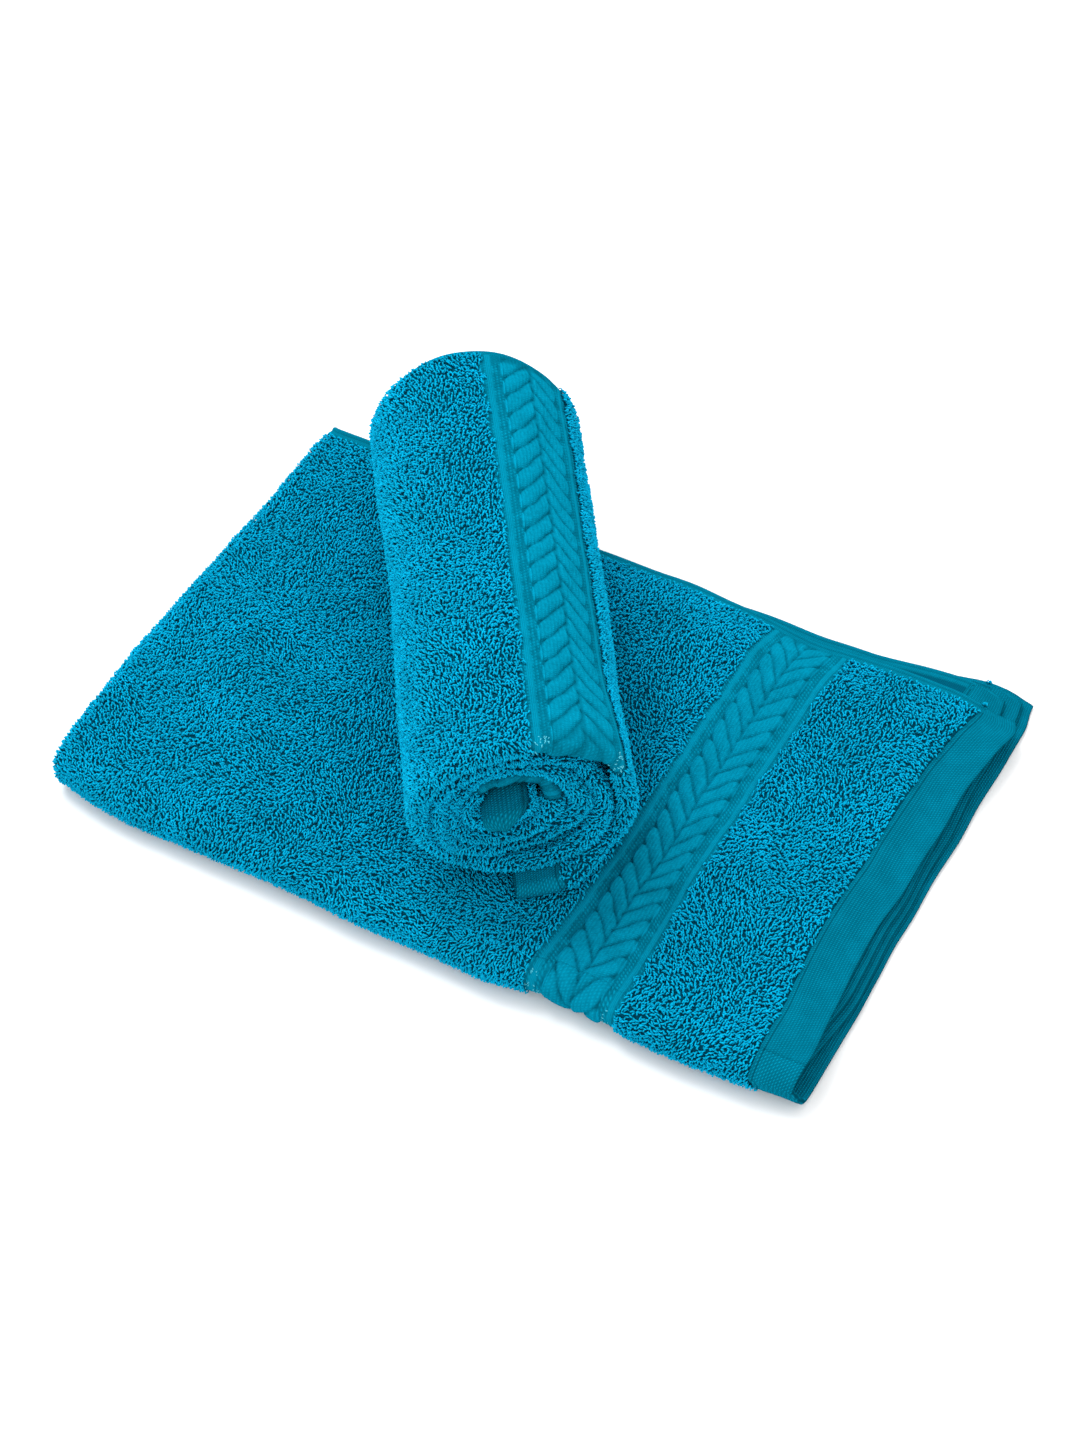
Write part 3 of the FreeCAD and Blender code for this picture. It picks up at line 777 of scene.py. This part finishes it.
# Steps along v. They are fine where chevrons show, or the cloth bends, and coarse elsewhere.
FINE, BEND, INNER, HIDDEN, STRAIGHT = 0.44, 0.6, 0.8, 1.5, 2


def over_hinge(piece):
    """Bakes the place of a piece that goes round the front fold, from the lower half to the upper, into its
    mesh.

    It ends where the fold does, at v = folded.quarter, and there it meets the upper half's own piece.
    """
    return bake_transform(piece)


def on_half(side, piece):
    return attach(piece, f"{side}_half")


def folded_pile(q, edges, rng):
    """All the pile: what rides the lower half, what goes over the hinge, and what rides the upper half."""
    bend_start, bend_end = folded.run, folded.run + folded.end_arc
    outer, end, inner = (0, bend_start), (bend_start, bend_end), (bend_end, folded.length)
    (upper_edge, upper_inner_edge), (lower_edge, lower_inner_edge) = edges["upper"], edges["lower"]
    hidden = dict(gap_u=HIDDEN_GAP, gap_v=HIDDEN_GAP)
    around = dict(gap_v=PILE_GAP * folded.turn / (folded.turn + folded.bend + PILE_HEIGHT))
    tight = dict(gap_u=PILE_GAP * folded.bend / (folded.bend + PILE_HEIGHT))
    on_upper = pile_field("folded_top_pile", folded, outer, (q, upper_edge), rng)
    on_upper += pile_field("folded_upper_inner_pile", folded, inner, (q, upper_inner_edge), rng, **hidden)
    on_lower = pile_field("folded_lower_inner_pile", folded, inner, (-lower_inner_edge, -q), rng, **hidden)
    on_lower += pile_field("folded_under_pile", folded, outer, (-lower_edge, -q - BEHIND_FOLD), rng, **hidden)
    across = pile_field("folded_front_pile", folded, outer, (-q - BEHIND_FOLD, q), rng, **around)
    across += pile_field("folded_end_pile_lower", folded, end, (-lower_edge, q), rng, **tight)
    on_upper += pile_field("folded_end_pile_upper", folded, end, (q, upper_edge), rng, **tight)
    across.append(glints("folded_painted_glint_threads", folded, -q, 5, 55, rng))

    # A few loose ends of thread at the corners of the hems.
    seams = np.array((HEM, HEM + 0.6, HEM - 0.5, HEM + 0.2))
    ends = dict(height=2.6, size=0.8, lean_seed=81)
    v = upper_edge + SELVEDGE - 0.6 * seams / HEM
    on_upper.append(pile("folded_upper_thread_ends", folded, seams, v, 1, rng, **ends))
    v = 0.3 - lower_inner_edge - SELVEDGE + 0 * seams
    on_lower.append(pile("folded_lower_thread_ends", folded, folded.length - seams, v, 1, rng, **ends))
    return on_lower, across, on_upper


def build_folded():
    rng = np.random.default_rng(7)
    q = folded.quarter
    bends = (folded.run - 6, 0.8, folded.run + folded.end_arc + 6)
    u_rows = spaced(END_IN, 4, *bends, 4, folded.length - END_IN)
    bight = q / folded.reach["upper"][0]
    shares = np.concatenate((-spaced(1, 0.02, 2 * bight, 0.004, 0.004), spaced(0.0, 0.004, bight)))
    lower_ground = over_hinge(ground_cloth("folded_ground_cloth_lower", folded, u_rows, shares))
    upper_ground = ground_cloth("folded_ground_cloth_upper", folded, u_rows, spaced(bight, 0.02, 1))
    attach(upper_ground, "upper_half")

    edges = {side: [reach - SELVEDGE for reach in folded.reach[side]] for side in ("lower", "upper")}
    on_lower, across, on_upper = folded_pile(q, edges, rng)
    above = [(on_half("upper", piece), "pile_cloth") for piece in on_upper]
    below = [(on_half("lower", piece), "pile_cloth") for piece in on_lower]
    below += [(over_hinge(piece), "pile_cloth") for piece in across]

    (upper_edge, upper_inner_edge), (_, lower_inner_edge) = edges["upper"], edges["lower"]
    v = spaced(EDGE_LAP - folded.reach["lower"][0], HIDDEN, -q - 12, FINE, q)
    piece = border("folded_border_lower", folded, v, True, meets=(False, True))
    below.append((over_hinge(piece), "chevron_weave"))
    v = spaced(q, FINE, upper_edge + EDGE_LAP)
    piece = border("folded_border_upper", folded, v, True, meets=(True, False))
    above.append((on_half("upper", piece), "chevron_weave"))
    inside = dict(points_to_fold=True, at_far_end=True, step=0.7)
    piece = border("folded_inner_border_upper", folded, spaced(q, INNER, upper_inner_edge), **inside)
    above.append((on_half("upper", piece), "chevron_weave"))
    piece = border("folded_inner_border_lower", folded, spaced(-lower_inner_edge, INNER, -q), **inside)
    below.append((on_half("lower", piece), "chevron_weave"))

    hems = (("folded_outer_hem", 0, 1, HEM_THICK), ("folded_inner_hem", folded.length, -1, INNER_HEM_THICK))
    for ply, (name, u_edge, inward, thick) in enumerate(hems):
        v = spaced(EDGE_LAP - folded.reach["lower"][ply], STRAIGHT, -q, BEND, q)
        below.append((over_hinge(hem(f"{name}_lower", folded, u_edge, inward, v, thick)), "flat_weave"))
        v = spaced(q, STRAIGHT, folded.reach["upper"][ply] - EDGE_LAP)
        above.append((on_half("upper", hem(f"{name}_upper", folded, u_edge, inward, v, thick)), "flat_weave"))
    for side, pieces in (("lower", below), ("upper", above)):
        piece = selvedge(f"folded_{side}_selvedge", folded, u_rows, side)
        pieces.append((on_half(side, piece), "flat_weave"))

    nodes = [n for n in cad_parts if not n.startswith("roll_")]
    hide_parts(*[n for n in nodes if not n.startswith("upper_")])
    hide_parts(*[n for n in nodes if n.startswith("upper_")])


# The rolled towel.

rolled = RolledTowel()
OUTER_TURN = 262.0              # how much of the cloth, from the outer hem, goes once round and shows
FRONT_SEEN, BACK_SEEN = 9, 12   # how far between the turns the pile goes, at the roll's front and back
ROLL_FINE = 0.42                # step along v over the chevrons


def build_rolled():
    rng = np.random.default_rng(8)
    reach = rolled.reach
    u_rows = spaced(END_IN, 2.0, rolled.length - END_IN)
    shares = np.concatenate((-spaced(1, 0.03, 0.04, 0.004, 0.004), spaced(0.0, 0.004, 0.04, 0.03, 1)))
    ground = ground_cloth("roll_ground_cloth", rolled, u_rows, shares)
    pieces = [(ground, "flat_weave")]

    outside, inside, whole = (0, OUTER_TURN), (OUTER_TURN, rolled.length), (0, rolled.length)
    fold, far = rolled.quarter, reach - SELVEDGE
    around = dict(gap_v=PILE_GAP * rolled.bend / (rolled.bend + PILE_HEIGHT))
    # Name, range of u, range of v, height of the pile, seed of its lean, and its gap if that isn't the usual.
    fields = [("roll_pile", outside, (fold, far), PILE_HEIGHT, 51, {}),
              ("roll_front_fold_pile", whole, (-fold, fold), 2.1, 61, around),
              ("roll_front_inner_pile", whole, (-fold - FRONT_SEEN, -fold), 1.3, 62, {}),
              ("roll_front_outer_pile", inside, (fold, fold + FRONT_SEEN), 1.3, 63, {}),
              ("roll_back_outer_pile", inside, (far - BACK_SEEN, far), 1.2, 64, {}),
              ("roll_back_inner_pile", whole, (-far, -far + BACK_SEEN), 1.2, 65, {})]
    for name, u_range, v_range, height, seed, gap in fields:
        field = pile_field(name, rolled, u_range, v_range, rng, height=height, lean_seed=seed, **gap)
        pieces += [(piece, "pile_cloth") for piece in field]
    pieces.append((glints("roll_painted_glint_threads", rolled, -1.5, 5, 40, rng), "pile_cloth"))

    piece = border("roll_border", rolled, spaced(-6, ROLL_FINE, far + EDGE_LAP), False)
    pieces.append((piece, "chevron_weave"))
    piece = border("roll_core_border", rolled, spaced(-14, ROLL_FINE, 22), False, at_far_end=True)
    pieces.append((piece, "chevron_weave"))
    v = spaced(EDGE_LAP - reach, 3, -8, 0.5, 8, 2, reach - EDGE_LAP)
    pieces.append((hem("roll_outer_hem_cloth", rolled, 0, 1, v, HEM_THICK), "flat_weave"))
    pieces.append((hem("roll_core_hem_cloth", rolled, rolled.length, -1, v, CORE_HEM_THICK), "flat_weave"))
    for ply, side in (("inner", "lower"), ("outer", "upper")):
        pieces.append((selvedge(f"roll_{ply}_selvedge_cloth", rolled, u_rows, side), "flat_weave"))

    for piece, slot in pieces:
        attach(piece, "rolled_towel")
    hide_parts(*[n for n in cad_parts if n.startswith("roll_")])


build_folded()
build_rolled()


# Floor, light and camera. These are in metres.

FLOOR_COLOUR, FLOOR_SIZE = (0.92, 0.92, 0.92, 1), 12
WORLD_STRENGTH = 1.3
KEY_AT, KEY_AIM, KEY_SIZE, KEY_POWER = (-0.9, 0.35, 1.8), (0, 0, 0.03), 0.9, 21
CAMERA_AIM, CAMERA_AWAY = (0.0024, 0.0035, 0.020), 0.877
CAMERA_TURN, CAMERA_RISE = math.radians(28.33), math.radians(51.03)      # to the right of the front, and up
SENSOR_WIDTH, LENS = 36, 57.5                                           # millimetres


def build_floor():
    material = bpy.data.materials.new("studio_floor")
    material.use_nodes = True
    shader = material.node_tree.nodes["Principled BSDF"]
    shader.inputs["Base Color"].default_value = FLOOR_COLOUR
    shader.inputs["Roughness"].default_value = 0.9
    shader.inputs["Specular IOR Level"].default_value = 0.1
    bpy.ops.mesh.primitive_plane_add(size=FLOOR_SIZE)
    floor = bpy.context.object
    floor.name = "studio_floor"
    floor.data.materials.append(material)


def area_light(name, location, target, size, power):
    light = bpy.data.lights.new(name, "AREA")
    light.size = size
    light.energy = power
    lamp = bpy.data.objects.new(name, light)
    lamp.location = location
    aim = np.array(target) - np.array(location)
    lamp.rotation_euler = Vector(aim).to_track_quat("-Z", "Y").to_euler()
    bpy.context.scene.collection.objects.link(lamp)


def build_light():
    world = bpy.data.worlds.new("studio_world")
    world.use_nodes = True
    world.node_tree.nodes["Background"].inputs["Color"].default_value = (1, 1, 1, 1)
    world.node_tree.nodes["Background"].inputs["Strength"].default_value = WORLD_STRENGTH
    bpy.context.scene.world = world
    area_light("key_light", KEY_AT, KEY_AIM, KEY_SIZE, KEY_POWER)
    bpy.context.scene.view_settings.view_transform = "Standard"


def build_camera():
    """The photograph's viewpoint: a short telephoto looking down on the towels from their front right."""
    level = math.cos(CAMERA_RISE)
    back = np.array((math.sin(CAMERA_TURN) * level, -math.cos(CAMERA_TURN) * level, math.sin(CAMERA_RISE)))
    data = bpy.data.cameras.new("camera")
    data.sensor_width = SENSOR_WIDTH
    data.lens = LENS
    camera = bpy.data.objects.new("camera", data)
    camera.location = np.array(CAMERA_AIM) + CAMERA_AWAY * back
    camera.rotation_euler = Vector(-back).to_track_quat("-Z", "Y").to_euler()
    bpy.context.scene.collection.objects.link(camera)
    bpy.context.scene.camera = camera


build_floor()
build_light()
build_camera()
